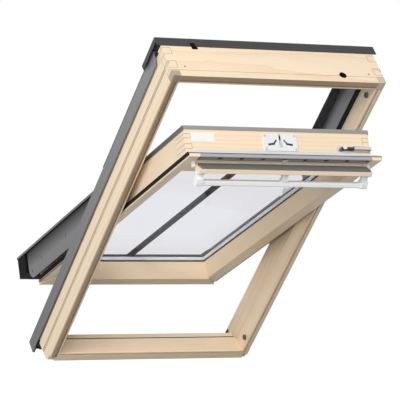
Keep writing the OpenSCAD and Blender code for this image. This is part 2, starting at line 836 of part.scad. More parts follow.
// Timber flap with a round hinge edge and a pin at each end
module vent_flap() {
  color("burlywood") on_flap() union() {
    block(-flap_u, flap_u, -flap_h, 0, flap_back, flap_front);
    rod(-flap_u, flap_u, 0, (flap_back + flap_front) / 2, (flap_front - flap_back) / 2);
    rod(-flap_u - 7, flap_u + 7, 0, 0, flap_pin_r);
  }
}

module flap_seal() {
  color("gray") on_flap() block(-flap_u + 4, flap_u - 4, -flap_h + 1, -4, flap_front, flap_front + 4.5);
}

// Outline with rounded corners, in the plane of slope and depth
module round_box(s0, s1, w0, w1, r) {
  translate([s0 + r, w0]) square([s1 - s0 - 2 * r, w1 - w0]);
  translate([s0, w0 + r]) square([s1 - s0, w1 - w0 - 2 * r]);
  for (s = [s0 + r, s1 - r]) {
    for (w = [w0 + r, w1 - r]) {
      translate([s, w]) circle(r = r);
    }
  }
}

// Control bar with rounded long edges
module control_bar() {
  color("white") on_flap() across(-bar_u, bar_u)
    round_box(grip_s - grip_h / 2, grip_s + grip_h / 2, grip_w - grip_d / 2, grip_w + grip_d / 2, 4);
}

// Waisted arm from the flap to the end of the control bar
module bracket_end(u0, u1) {
  across(u0, u1) difference() {
    union() {
      translate([grip_s - 10, grip_w]) square([20, flap_back - grip_w]);
      translate([-flap_h + 4, flap_back - 3]) square([flap_h - 6, 3]);
      round_box(grip_s - grip_h / 2 - 1.5, grip_s + grip_h / 2 + 1.5,
        grip_w - grip_d / 2 - 1.5, grip_w + grip_d / 2 + 1.5, 5);
    }
    translate([grip_s + 12, (grip_w + grip_d / 2 + flap_back) / 2]) circle(r = 8);
    translate([grip_s - 12, (grip_w + grip_d / 2 + flap_back) / 2]) circle(r = 8);
  }
}

module bar_bracket_left() {
  color("whitesmoke") on_flap() bracket_end(-bar_u - bracket_w, -bar_u);
}

module bar_bracket_right() {
  color("whitesmoke") on_flap() bracket_end(bar_u, bar_u + bracket_w);
}

module bar_bracket_centre() {
  color("whitesmoke") on_flap() across(lock_u - 7, lock_u + 7) difference() {
    translate([grip_s - 9, grip_w + grip_d / 2]) square([18, flap_back - grip_w - grip_d / 2]);
    translate([grip_s + 13, (grip_w + grip_d / 2 + flap_back) / 2]) circle(r = 9);
    translate([grip_s - 13, (grip_w + grip_d / 2 + flap_back) / 2]) circle(r = 9);
  }
}

frame_head();
frame_sill();
frame_jamb_left();
frame_jamb_right();
head_cover();
side_cladding_left();
side_cladding_right();
upper_cover_left();
upper_cover_right();
jamb_seal_left();
jamb_seal_right();
sill_seal();
pivot_plate_left();
pivot_plate_right();
bolt_bushings();
sash_top_rail();
sash_bottom_rail();
sash_stile_left();
sash_stile_right();
pane_inner();
pane_outer();
pane_spacer();
glazing_seal();
glazing_bar();
sash_strip_top();
sash_strip_left();
sash_strip_right();
sash_bottom_cover();
side_plate_left();
side_plate_right();
side_cover_left();
side_cover_right();
cover_end_left();
cover_end_right();
sash_seal();
lower_seal_left();
lower_seal_right();
pivot_pin_left();
pivot_pin_right();
vent_trim();
face_trim();
vent_grille();
vent_rail();
vent_clip();
lock_plate();
lock_latch();
lock_screws();
bolt_guide();
slide_bolt();
blank_label();
flap_bearings();
vent_flap();
flap_seal();
control_bar();
bar_bracket_left();
bar_bracket_centre();
bar_bracket_right();
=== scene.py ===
"""Looks of the timber roof window: its finishes, small fixings, studio and camera."""

import json
import math

import bmesh
import bpy
from mathutils import Matrix, Vector


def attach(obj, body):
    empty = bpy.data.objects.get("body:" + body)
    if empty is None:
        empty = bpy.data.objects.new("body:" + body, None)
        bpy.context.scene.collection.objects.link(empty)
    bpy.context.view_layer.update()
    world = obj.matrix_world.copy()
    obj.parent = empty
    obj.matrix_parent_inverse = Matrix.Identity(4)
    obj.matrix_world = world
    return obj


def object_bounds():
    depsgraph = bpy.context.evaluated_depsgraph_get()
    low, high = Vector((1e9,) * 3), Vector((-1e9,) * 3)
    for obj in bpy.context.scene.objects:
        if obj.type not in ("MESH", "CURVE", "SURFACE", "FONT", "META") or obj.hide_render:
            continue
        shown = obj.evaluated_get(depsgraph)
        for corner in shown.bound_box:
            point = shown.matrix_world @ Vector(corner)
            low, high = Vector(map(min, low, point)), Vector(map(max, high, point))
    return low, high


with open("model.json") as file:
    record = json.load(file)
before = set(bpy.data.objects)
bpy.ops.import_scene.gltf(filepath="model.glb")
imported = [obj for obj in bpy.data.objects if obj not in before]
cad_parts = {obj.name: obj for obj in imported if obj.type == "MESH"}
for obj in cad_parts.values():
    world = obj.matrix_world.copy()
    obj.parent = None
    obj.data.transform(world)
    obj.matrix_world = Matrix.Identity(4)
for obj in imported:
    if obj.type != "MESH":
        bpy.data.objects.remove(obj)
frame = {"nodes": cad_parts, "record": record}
cad_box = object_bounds()

# Roof pitch and openings in degrees, and the leans that they give about the cross axis
ROOF_PITCH = 42.5
SASH_OPEN = 24.5
FLAP_OPEN = 40
FRAME_LEAN = math.radians(ROOF_PITCH)
SASH_LEAN = math.radians(ROOF_PITCH - SASH_OPEN)
FLAP_LEAN = math.radians(ROOF_PITCH - SASH_OPEN - FLAP_OPEN)
QUARTER = math.radians(90)

# From the place of a piece to its width, slope and depth in the closed window
FRAME_PLACE = ((FRAME_LEAN, 0, 0), (0, 0.489, 0.0505))
SASH_PLACE = ((SASH_LEAN, 0, 0), (0, 0.416150, -0.146027))

# Directions in the closed window
LEFT = (-1, 0, 0)
RIGHT = (1, 0, 0)
UP_SLOPE = (0, -1, 0)
SLOPE = (0, 1, 0)
DEPTH = (0, 0, 1)
TO_ROOM = (0, 0, -1)

# Places of the small fixings and of the faces that they sit on, in the closed window
HALF_WIDTH = 0.275
REVEAL = 0.255
HEAD_FACE = -0.489
HEAD_UNDER = -0.467
SASH_BODY = 0.2385
SASH_POCKET = 0.222
SASH_FACE = -0.432
SASH_FINGER_END = -0.386
FRAME_FINGER_LINES = (0.0185, 0.0265, 0.049, 0.072, 0.0925)
SASH_FINGER_LINES = (0.063, 0.075, 0.089, 0.099)
CABLE_HOLE = (0.1666, 0.022)
CABLE_HOLE_RADIUS = 0.008
NAIL_HOLES = ((-0.237, 0.0313), (0.238, 0.028))
CLIP_NOTCH = ((-0.199, -0.184), (0.090, 0.100))
HEAD_COVER_FACE = -0.4904
CLIP_TOP = 0.108
FOOT_WIDTHS = (0.2672, 0.2752)
FOOT_SLOPES = (0.5062, 0.519, 0.533)
FOOT_DEPTHS = (0.0615, 0.0765, 0.0827)
LOCK_MIDDLE = 0.004
LOCK_CASE_HALF = 0.0335
LOCK_CASE_DEPTH = (0.0657, 0.1003)

# Glue lines: their width, how far they stand out and how deep they sit
LINE = 0.0008
PROUD = 0.00012
SUNK = 3 * PROUD

# Rounded edges of the small fixings
FINE_ROUND = 0.0003
BROAD_ROUND = 0.0006
SHARP_ANGLE = math.radians(40)

# Edges where a piece changes tone, several of them edges of painted shade: direction, how far along it,
# and softness
CRISP = 0.0004
SOFT = 0.0008
# The grey cladding's paint is darker towards the bottom of the slope
CLADDING_FADE = (SLOPE, 0.05, 0.9)
# Painted shade on the side plates, darkest at the top under the cover's hem
SIDE_PLATE_PAINTED_SHADE_EDGE = (DEPTH, 0.098, 0.050)
# Painted shade on the upper covers' inner wall, darkest under their top flange
UPPER_COVER_PAINTED_SHADE_EDGE = (DEPTH, 0.108, 0.028)
LOWER_SEAL_EDGE = (DEPTH, 0.0360, 0.0006)
SASH_SEAL_EDGE = ((0, -1, 1), 0.5048, 0.0006)
SPACER_EDGE = (DEPTH, 0.0895, 0.0006)
TOP_STRIP_EDGE = (SLOPE, -0.381, 0.001)
GRILLE_EDGE = ((0, 1, 3.2), -0.3325, 0.0005)
KNOB_EDGE = (UP_SLOPE, 0.4418, CRISP)
# Painted shade in the twin grooves along the outer face of each jamb: on the groove floors and as a
# faint band over both
GROOVE_BACK = 0.2725
GROOVE_MOUTH = 0.2744
GROOVE_BAND = (0.0385, 0.0475)
# Painted shade on the room faces of the head and of the left jamb, outside the strip along the reveal
HEAD_ROOM_FACE = ((UP_SLOPE, 0.4705, 0.001), (SLOPE, -0.4885, 0.0006), (TO_ROOM, -0.0025, 0.005))
JAMB_ROOM_FACE = ((LEFT, 0.2588, 0.001), (TO_ROOM, -0.0025, 0.005))
# Painted shade where the corner is notched away at the jamb's lowest finger, seen as a shadowed
# underside
FINGER_END = ((UP_SLOPE, 0.4665, CRISP), (TO_ROOM, -0.0165, CRISP))
# Painted shade on the right jamb's reveal: a dark line at the rebate's step and a slightly darker
# recessed face
REBATE_LINE = ((LEFT, -0.270, CRISP), (DEPTH, 0.0425, SOFT), (TO_ROOM, -0.0460, SOFT))
REBATE = ((LEFT, -0.270, CRISP), (DEPTH, 0.0440, 0.0006))

# Camera as measured from the photograph: a long lens a little below the window's middle
CAMERA_PLACE = (-2.7258, -5.9153, 0.1843)
CAMERA_AZIMUTH = math.radians(25.997)
CAMERA_RISE = math.radians(1.604)
CAMERA_LENS_MM = 230.05
SENSOR_MM = 36.0
CAMERA_REACH = 100.0

# Studio: one broad lamp from the upper left, a weaker one low at the left front, soft light all round
LAMP_AIM = (0, -0.35, 0.35)
LAMP_PLACE = (-5.76, -5.93, 4.45)
LAMP_SIZE = 4.5
LAMP_POWER = 625
FILL_PLACE = (-3.85, -6.16, 0.77)
FILL_SIZE = 1.5
FILL_POWER = 122
SOFT_LIGHT = 0.30
SKY_TINT = (0.97, 0.985, 1.0, 1)
PURE_WHITE = (1, 1, 1, 1)
FLOOR_GREY = 0.40
FLOOR_LIFT = 0.89
FLOOR_REACH = 30.0
FLOOR_GAP = 0.0005

# Finishes, as plain linear colours
PINE_PALE = (0.92, 0.755, 0.555, 1)
PINE_LATE = (0.76, 0.52, 0.30, 1)
# Painted shade, mixed into the frame's pine on room faces, in the grooves and along the right jamb's
# rebate
PINE_PAINTED_SHADE = (0.25, 0.16, 0.09, 1)
GLUE_LINE = (0.26, 0.17, 0.09, 1)
# Painted shade standing in for the shadowed notch at the top corner of each jamb
NOTCH_PAINTED_SHADE = (0.36, 0.28, 0.21, 1)
COVER_DARK = (0.105, 0.107, 0.110, 1)
COVER_INSIDE = (0.36, 0.365, 0.375, 1)
# Painted shade under the top flange of the upper covers
COVER_PAINTED_SHADE = (0.050, 0.051, 0.053, 1)
HEAD_COVER_DARK = (0.055, 0.055, 0.057, 1)
CLADDING_HIGH = (0.215, 0.215, 0.220, 1)
CLADDING_LOW = (0.105, 0.106, 0.111, 1)
PLATE_GREY = (0.245, 0.245, 0.249, 1)
# Painted shade, near black, at the top of the side plates under the cover's hem
PLATE_PAINTED_SHADE = (0.008, 0.008, 0.009, 1)
BAR_DARK = (0.028, 0.029, 0.032, 1)
STRIP_GREY = (0.30, 0.29, 0.275, 1)
STRIP_PALE = (0.70, 0.70, 0.69, 1)
TRIM_GREY = (0.40, 0.41, 0.44, 1)
SPACER_GREY = (0.52, 0.55, 0.56, 1)
LOCK_ZINC = (0.84, 0.85, 0.86, 1)
ZINC = (0.66, 0.67, 0.68, 1)
STEEL_DARK = (0.05, 0.05, 0.052, 1)
RUBBER_BLACK = (0.012, 0.012, 0.013, 1)
RUBBER_GREY = (0.165, 0.16, 0.15, 1)
RUBBER_OLIVE = (0.34, 0.31, 0.26, 1)
PLASTIC_GREY = (0.12, 0.12, 0.12, 1)
PLASTIC_BLACK = (0.008, 0.008, 0.009, 1)
GRILLE_GREY = (0.40, 0.40, 0.39, 1)
PLASTIC_WHITE = (0.90, 0.905, 0.915, 1)
RAIL_PALE = (0.92, 0.90, 0.82, 1)
BAR_WHITE = (0.94, 0.945, 0.955, 1)
LABEL_WHITE = (0.86, 0.86, 0.84, 1)
GLASS_TINT = (0.888, 0.892, 0.915, 1)
GLASS_SHADOW = (0.985, 0.99, 0.995, 1)
GLASS_IOR = 1.05

# Grain of the pine: ring width, bends of the rings, and the share of each cause of darker tone
RING_WIDTH = 0.0042
RING_SWAY = 0.013
RING_RIPPLE = 0.0018
LATE_SHARE = 0.62
FIBRE_SHARE = 0.38
TONE_SHARE = 0.55
GRAIN_CUT = 0.36

# Depth of the bump, softened edge and width of the worn edge
PINE_BUMP = 0.00012
PINE_EDGE = 0.0014
PINE_WORN = 0.0012
COAT_BUMP = 0.00004
COAT_EDGE = 0.0006
COAT_WORN = 0.0011


def feed(tree, socket, value):
    """Sets an input to a value, or joins it to another socket."""
    if isinstance(value, bpy.types.NodeSocket):
        tree.links.new(value, socket)
    else:
        socket.default_value = value


def add(tree, kind, inputs=None, **settings):
    """A node with its settings, and its inputs set to values or joined to sockets."""
    made = tree.nodes.new(kind)
    for name, value in settings.items():
        setattr(made, name, value)
    for name, value in (inputs or {}).items():
        feed(tree, made.inputs[name], value)
    return made


def math_node(tree, operation, first, second=None, clamp=False):
    """The result of one sum on sockets or numbers."""
    inputs = {0: first}
    if second is not None:
        inputs[1] = second
    made = add(tree, "ShaderNodeMath", inputs, operation=operation)
    made.use_clamp = clamp
    return made.outputs[0]


def mix_colour(tree, factor, first, second):
    """Two colours mixed by a factor."""
    made = add(tree, "ShaderNodeMix", data_type="RGBA")
    for index, value in ((0, factor), (6, first), (7, second)):
        feed(tree, made.inputs[index], value)
    return made.outputs[2]


def noise(tree, vector, scale, detail=2.0, rough=0.5):
    """A noise value over a vector."""
    inputs = {"Vector": vector, "Scale": scale, "Detail": detail, "Roughness": rough}
    return add(tree, "ShaderNodeTexNoise", inputs).outputs["Fac"]


def stretched(tree, vector, scale):
    """The vector scaled along each axis."""
    return add(tree, "ShaderNodeMapping", {"Vector": vector, "Scale": scale}).outputs[0]


def new_group(name, inputs, outputs):
    """An empty shader group with its sockets; inputs and outputs are name, kind and value."""
    group = bpy.data.node_groups.new(name, "ShaderNodeTree")
    for title, kind, value in inputs:
        socket = group.interface.new_socket(title, in_out="INPUT", socket_type=kind)
        if value is not None:
            socket.default_value = value
    for title, kind in outputs:
        group.interface.new_socket(title, in_out="OUTPUT", socket_type=kind)
    entry = group.nodes.new("NodeGroupInput")
    leave = group.nodes.new("NodeGroupOutput")
    return group, entry.outputs, leave.inputs


def pine_grain_group():
    """Growth rings, fibres and slow changes of tone, with the grain along the first axis."""
    group, entry, leave = new_group(
        "pine grain",
        [
            ("Vector", "NodeSocketVector", None),
            ("Pale", "NodeSocketColor", PINE_PALE),
            ("Late", "NodeSocketColor", PINE_LATE),
            ("Ring Width", "NodeSocketFloat", 0.004),
            ("Strength", "NodeSocketFloat", 0.4),
        ],
        [
            ("Color", "NodeSocketColor"),
            ("Roughness", "NodeSocketFloat"),
            ("Height", "NodeSocketFloat"),
        ],
    )
    along = entry["Vector"]
    sway = noise(group, stretched(group, along, (1.6, 9, 9)), 1.0, 3.0)
    ripple = noise(group, stretched(group, along, (14, 60, 60)), 1.0, 2.0)
    parts = add(group, "ShaderNodeSeparateXYZ", {0: along}).outputs
    across = math_node(group, "MULTIPLY", parts[1], parts[1])
    deep = math_node(group, "MULTIPLY", parts[2], parts[2])
    radius = math_node(group, "SQRT", math_node(group, "ADD", across, deep))
    bent = math_node(group, "ADD", radius, math_node(group, "MULTIPLY", sway, RING_SWAY))
    bent = math_node(group, "ADD", bent, math_node(group, "MULTIPLY", ripple, RING_RIPPLE))
    ring = math_node(group, "FRACT", math_node(group, "DIVIDE", bent, entry["Ring Width"]))
    late = math_node(group, "POWER", ring, 3.0)
    fibre = noise(group, stretched(group, along, (9, 620, 620)), 1.0, 3.0, 0.6)
    tone = noise(group, stretched(group, along, (1.1, 16, 16)), 1.0, 2.0)
    blend = math_node(group, "MULTIPLY", late, LATE_SHARE)
    blend = math_node(group, "ADD", blend, math_node(group, "MULTIPLY", fibre, FIBRE_SHARE))
    blend = math_node(group, "ADD", blend, math_node(group, "MULTIPLY", tone, TONE_SHARE))
    blend = math_node(group, "SUBTRACT", blend, GRAIN_CUT, clamp=True)
    factor = math_node(group, "MULTIPLY", blend, entry["Strength"], clamp=True)
    colour = mix_colour(group, factor, entry["Pale"], entry["Late"])
    rough = math_node(group, "ADD", math_node(group, "MULTIPLY", fibre, 0.2), 0.34)
    height = math_node(group, "ADD", fibre, math_node(group, "MULTIPLY", late, 0.5))
    group.links.new(colour, leave["Color"])
    group.links.new(rough, leave["Roughness"])
    group.links.new(height, leave["Height"])
    return group


def worn_edge_group():
    """A mask that is bright along the edges of a piece, broken up by noise."""
    group, entry, leave = new_group(
        "worn edge",
        [("Vector", "NodeSocketVector", None), ("Width", "NodeSocketFloat", 0.001)],
        [("Mask", "NodeSocketFloat")],
    )
    rounded = add(group, "ShaderNodeBevel", {"Radius": entry["Width"]}, samples=4)
    flat = add(group, "ShaderNodeNewGeometry").outputs["Normal"]
    inputs = {0: rounded.outputs[0], 1: flat}
    facing = add(group, "ShaderNodeVectorMath", inputs, operation="DOT_PRODUCT").outputs["Value"]
    edge = math_node(group, "MULTIPLY", math_node(group, "SUBTRACT", 1.0, facing), 6.0, clamp=True)
    patch = noise(group, entry["Vector"], 90.0, 3.0, 0.6)
    mask = math_node(group, "MULTIPLY", edge, patch, clamp=True)
    group.links.new(mask, leave["Mask"])
    return group


def fine_coat_group():
    """The faint mottle and pimpled surface of paint, rubber and moulded plastic."""
    group, entry, leave = new_group(
        "fine coat",
        [
            ("Vector", "NodeSocketVector", None),
            ("Base", "NodeSocketColor", (0.5, 0.5, 0.5, 1)),
            ("Grain", "NodeSocketFloat", 900.0),
            ("Mottle", "NodeSocketFloat", 0.12),
            ("Sheen", "NodeSocketFloat", 0.4),
        ],
        [
            ("Color", "NodeSocketColor"),
            ("Roughness", "NodeSocketFloat"),
            ("Height", "NodeSocketFloat"),
        ],
    )
    cloud = noise(group, entry["Vector"], 14.0, 4.0, 0.55)
    pimple = noise(group, entry["Vector"], entry["Grain"], 2.0, 0.5)
    shade = math_node(group, "SUBTRACT", math_node(group, "ADD", cloud, pimple), 1.0)
    shade = math_node(group, "MULTIPLY", shade, entry["Mottle"])
    bright = add(group, "ShaderNodeHueSaturation", {"Color": entry["Base"]})
    group.links.new(math_node(group, "ADD", shade, 1.0), bright.inputs["Value"])
    rough = math_node(group, "ADD", entry["Sheen"], math_node(group, "MULTIPLY", shade, 0.6))
    group.links.new(bright.outputs[0], leave["Color"])
    group.links.new(rough, leave["Roughness"])
    group.links.new(pimple, leave["Height"])
    return group


def zone_group():
    """A mask that goes from 0 to 1 where a place passes an edge along a direction."""
    group, entry, leave = new_group(
        "zone",
        [
            ("Place", "NodeSocketVector", None),
            ("Along", "NodeSocketVector", DEPTH),
            ("Edge", "NodeSocketFloat", 0.0),
            ("Softness", "NodeSocketFloat", 0.001),
        ],
        [("Mask", "NodeSocketFloat")],
    )
    inputs = {0: entry["Place"], 1: entry["Along"]}
    passed = add(group, "ShaderNodeVectorMath", inputs, operation="DOT_PRODUCT").outputs["Value"]
    past = math_node(group, "SUBTRACT", passed, entry["Edge"])
    share = math_node(group, "DIVIDE", past, entry["Softness"])
    group.links.new(math_node(group, "ADD", share, 0.5, clamp=True), leave["Mask"])
    return group


PINE_GRAIN = pine_grain_group()
WORN_EDGE = worn_edge_group()
FINE_COAT = fine_coat_group()
ZONE = zone_group()


def new_material(name):
    """A new material, with its node tree and its shader."""
    material = bpy.data.materials.new(name)
    material.use_nodes = True
    tree = material.node_tree
    shader = tree.nodes["Principled BSDF"]
    return material, tree, shader


def place_group(tree, group, inputs):
    """A shader group in a material, with its inputs."""
    made = tree.nodes.new("ShaderNodeGroup")
    made.node_tree = group
    for name, value in inputs.items():
        feed(tree, made.inputs[name], value)
    return made.outputs


def own_place(tree, turn=(0, 0, 0), shift=(0, 0, 0)):
    """Coordinates fixed to the piece, turned and shifted."""
    place = add(tree, "ShaderNodeTexCoord").outputs["Object"]
    inputs = {"Vector": place, "Rotation": turn, "Location": shift}
    return add(tree, "ShaderNodeMapping", inputs).outputs[0]


def zone_mask(tree, place, along, edge, softness):
    """Mask of the part of a piece past an edge."""
    inputs = {"Place": place, "Along": along, "Edge": edge, "Softness": softness}
    return place_group(tree, ZONE, inputs)["Mask"]


def surface(tree, shader, height, depth, edge):
    """Bump from a height, on edges that are softened a little."""
    rounded = add(tree, "ShaderNodeBevel", {"Radius": edge}, samples=6).outputs[0]
    inputs = {"Height": height, "Distance": depth, "Strength": 0.6, "Normal": rounded}
    bump = add(tree, "ShaderNodeBump", inputs)
    tree.links.new(bump.outputs[0], shader.inputs["Normal"])


def patch_mask(tree, place, edges):
    """Mask of the part of a piece that lies past every one of some edges."""
    mask = 1.0
    for along, edge, softness in edges:
        mask = math_node(tree, "MULTIPLY", zone_mask(tree, place, along, edge, softness), mask)
    return mask


def pine(name, turn, shift, strength=0.6, painted_shades=()):
    """Lacquered pine with the grain along the turned first axis, and areas of painted shade in another
    tone.
    """
    material, tree, shader = new_material(name)
    place = own_place(tree, turn, shift)
    grain = place_group(
        tree, PINE_GRAIN, {"Vector": place, "Strength": strength, "Ring Width": RING_WIDTH}
    )
    worn = place_group(tree, WORN_EDGE, {"Vector": place, "Width": PINE_WORN})
    wear = math_node(tree, "MULTIPLY", worn["Mask"], 0.4)
    colour = mix_colour(tree, wear, grain["Color"], PINE_PALE)
    for tone, amount, edges in painted_shades:
        mask = patch_mask(tree, own_place(tree, *FRAME_PLACE), edges)
        colour = mix_colour(tree, math_node(tree, "MULTIPLY", mask, amount), colour, tone)
    tree.links.new(colour, shader.inputs["Base Color"])
    tree.links.new(grain["Roughness"], shader.inputs["Roughness"])
    shader.inputs["Coat Weight"].default_value = 0.12
    shader.inputs["Coat Roughness"].default_value = 0.35
    shader.inputs["Specular IOR Level"].default_value = 0.35
    surface(tree, shader, grain["Height"], PINE_BUMP, PINE_EDGE)
    return material


def coated(
    name, base, sheen, grain=900.0, mottle=0.12, wear=0.0, metal=0.0, gloss=0.5, zone=None
):
    """Paint, plastic, rubber or plated metal with a fine coat, worn edges and a second tone; on the
    side plates and upper covers the second tone is painted shade.
    """
    material, tree, shader = new_material(name)
    place = own_place(tree)
    tone = base
    if zone:
        second, spot, along, limit, softness = zone
        mask = zone_mask(tree, own_place(tree, *spot), along, limit, softness)
        tone = mix_colour(tree, mask, base, second)
    coat = place_group(
        tree,
        FINE_COAT,
        {"Vector": place, "Base": tone, "Grain": grain, "Mottle": mottle, "Sheen": sheen},
    )
    colour = coat["Color"]
    if wear:
        worn = place_group(tree, WORN_EDGE, {"Vector": place, "Width": COAT_WORN})
        pale = tuple(min(1.0, value * 1.9 + 0.04) for value in base[:3]) + (1,)
        colour = mix_colour(tree, math_node(tree, "MULTIPLY", worn["Mask"], wear), colour, pale)
    tree.links.new(colour, shader.inputs["Base Color"])
    tree.links.new(coat["Roughness"], shader.inputs["Roughness"])
    shader.inputs["Metallic"].default_value = metal
    shader.inputs["Specular IOR Level"].default_value = gloss
    surface(tree, shader, coat["Height"], COAT_BUMP, COAT_EDGE)
    return material


def clear_glass(name):
    """Thin float glass that lets lamp light through, with faint smears in its gloss."""
    material, tree, shader = new_material(name)
    place = own_place(tree)
    smear = noise(tree, place, 7.0, 4.0, 0.6)
    rough = math_node(tree, "MULTIPLY", smear, 0.02)
    shader.inputs["Base Color"].default_value = GLASS_TINT
    tree.links.new(rough, shader.inputs["Roughness"])
    shader.inputs["Transmission Weight"].default_value = 1.0
    shader.inputs["IOR"].default_value = GLASS_IOR
    shadow = add(tree, "ShaderNodeLightPath").outputs["Is Shadow Ray"]
    open_air = add(tree, "ShaderNodeBsdfTransparent", {"Color": GLASS_SHADOW})
    both = add(tree, "ShaderNodeMixShader", {0: shadow, 1: shader.outputs[0], 2: open_air.outputs[0]})
    tree.links.new(both.outputs[0], tree.nodes["Material Output"].inputs["Surface"])
    return material


FINISHES = {
    "dark_cover": coated("dark cover paint", COVER_DARK, 0.42, wear=0.5),
    "grey_cladding": coated(
        "grey cladding paint", CLADDING_HIGH, 0.45, wear=0.4,
        zone=(CLADDING_LOW, FRAME_PLACE, *CLADDING_FADE),
    ),
    "bare_aluminium": coated("bare aluminium", TRIM_GREY, 0.42, grain=1500.0, metal=0.3),
    "zinc": coated("zinc plate", ZINC, 0.32, grain=320.0, mottle=0.22, wear=0.3, metal=0.9),
    "black_rubber": coated("black rubber", RUBBER_BLACK, 0.6, grain=2200.0, mottle=0.3, gloss=0.06),
    "grey_rubber": coated("grey rubber", RUBBER_GREY, 0.62, grain=2200.0, mottle=0.18),
    "clear_glass": clear_glass("clear glass"),
    "grey_plastic": coated("grey plastic", PLASTIC_GREY, 0.5, grain=1800.0),
    "black_plastic": coated(
        "black plastic", PLASTIC_BLACK, 0.52, grain=1800.0, mottle=0.25, gloss=0.02
    ),
    "white_plastic": coated("white plastic", PLASTIC_WHITE, 0.28, grain=700.0, mottle=0.05, gloss=0.9),
    "white_bar": coated("white bar lacquer", BAR_WHITE, 0.22, grain=500.0, mottle=0.04, gloss=1.0),
    "label_film": coated("blank label film", LABEL_WHITE, 0.35, grain=600.0, mottle=0.06),
}
GLUE = coated("glue line", GLUE_LINE, 0.55, grain=1200.0, mottle=0.3)
DARK_STEEL = coated("dark steel", STEEL_DARK, 0.4, grain=1200.0, wear=0.3, metal=0.5)
# The side plates' paint darkens towards the top: painted shade under the cover's hem
SIDE_PLATE = coated(
    "side plate paint with painted shade", PLATE_GREY, 0.5, wear=0.4, gloss=0.02,
    zone=(PLATE_PAINTED_SHADE, SASH_PLACE, *SIDE_PLATE_PAINTED_SHADE_EDGE),
)
LOCK_PLATE = coated("bright lock plate", LOCK_ZINC, 0.35, grain=320.0, mottle=0.12, wear=0.2, metal=0.4)
LOWER_SEAL = coated(
    "twin lipped seal", RUBBER_OLIVE, 0.6, grain=2200.0, mottle=0.25, gloss=0.06,
    zone=(RUBBER_BLACK, SASH_PLACE, *LOWER_SEAL_EDGE),
)
# The upper covers' paint darkens towards the top: painted shade under the flange
INSIDE_COVER = coated(
    "upper cover paint with painted shade", COVER_INSIDE, 0.42, wear=0.4, gloss=0.1,
    zone=(COVER_PAINTED_SHADE, FRAME_PLACE, *UPPER_COVER_PAINTED_SHADE_EDGE),
)


def groove_edges(outward):
    """Edges of the band of faint painted shade over the twin grooves along the outer face of a jamb."""
    low, high = GROOVE_BAND
    return (outward, GROOVE_BACK, CRISP), (DEPTH, low, CRISP), (TO_ROOM, -high, CRISP)


def groove_floor_edges(outward):
    """Edges of the darker painted shade on the floor of the twin grooves along the outer face of a
    jamb.
    """
    inward = (-outward[0], 0, 0)
    return ((inward, -GROOVE_MOUTH, SOFT), *groove_edges(outward))


# The frame's pine carries painted shade on the room face of the head
PINE_ACROSS_FRAME = pine(
    "pine across the frame with painted shade", (FRAME_LEAN, 0, 0), (0.2, 0.13, 0.06),
    painted_shades=((PINE_PAINTED_SHADE, 0.75, HEAD_ROOM_FACE),),
)
PINE_ACROSS_SASH = pine("pine across the sash", (SASH_LEAN, 0, 0), (0.6, -0.02, 0.14))
PINE_UP_SASH = pine("pine up the sash", (SASH_LEAN, 0, -QUARTER), (0.3, 0.11, 0.05))

